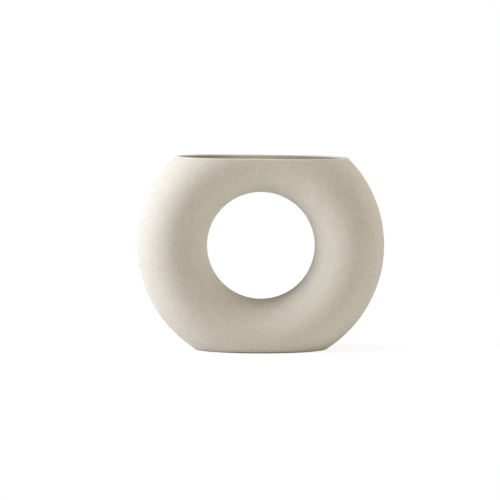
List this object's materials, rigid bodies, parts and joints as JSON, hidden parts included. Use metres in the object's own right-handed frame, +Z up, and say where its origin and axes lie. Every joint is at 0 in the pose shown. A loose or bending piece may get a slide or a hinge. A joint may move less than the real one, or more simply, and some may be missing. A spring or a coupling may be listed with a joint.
{
  "type": "donut vase",
  "caption": "Ring-shaped flower vase of matte cream stoneware, with a flat foot, a long open mouth along its top and a round hole through its middle.",
  "frame": {"origin": "on the table, at the lower faces of the felt discs, right under the middle of the ring", "axes": "+X along the width of the ring, towards the lower end of the mouth; +Y through the hole, towards the back; +Z up"},
  "size_m": [0.1999, 0.0564, 0.1574],
  "materials": {
    "stoneware": "matte unglazed clay with a fine grain",
    "glaze": "thin clear glaze over the clay, satin to glossy",
    "felt": "pressed wool felt"
  },
  "bodies": {
    "root": {"vase_body": "stoneware", "inner_glaze": "glaze", "felt_disc_front_left": "felt", "felt_disc_front_right": "felt", "felt_disc_back_left": "felt", "felt_disc_back_right": "felt"}
  },
  "joints": []
}
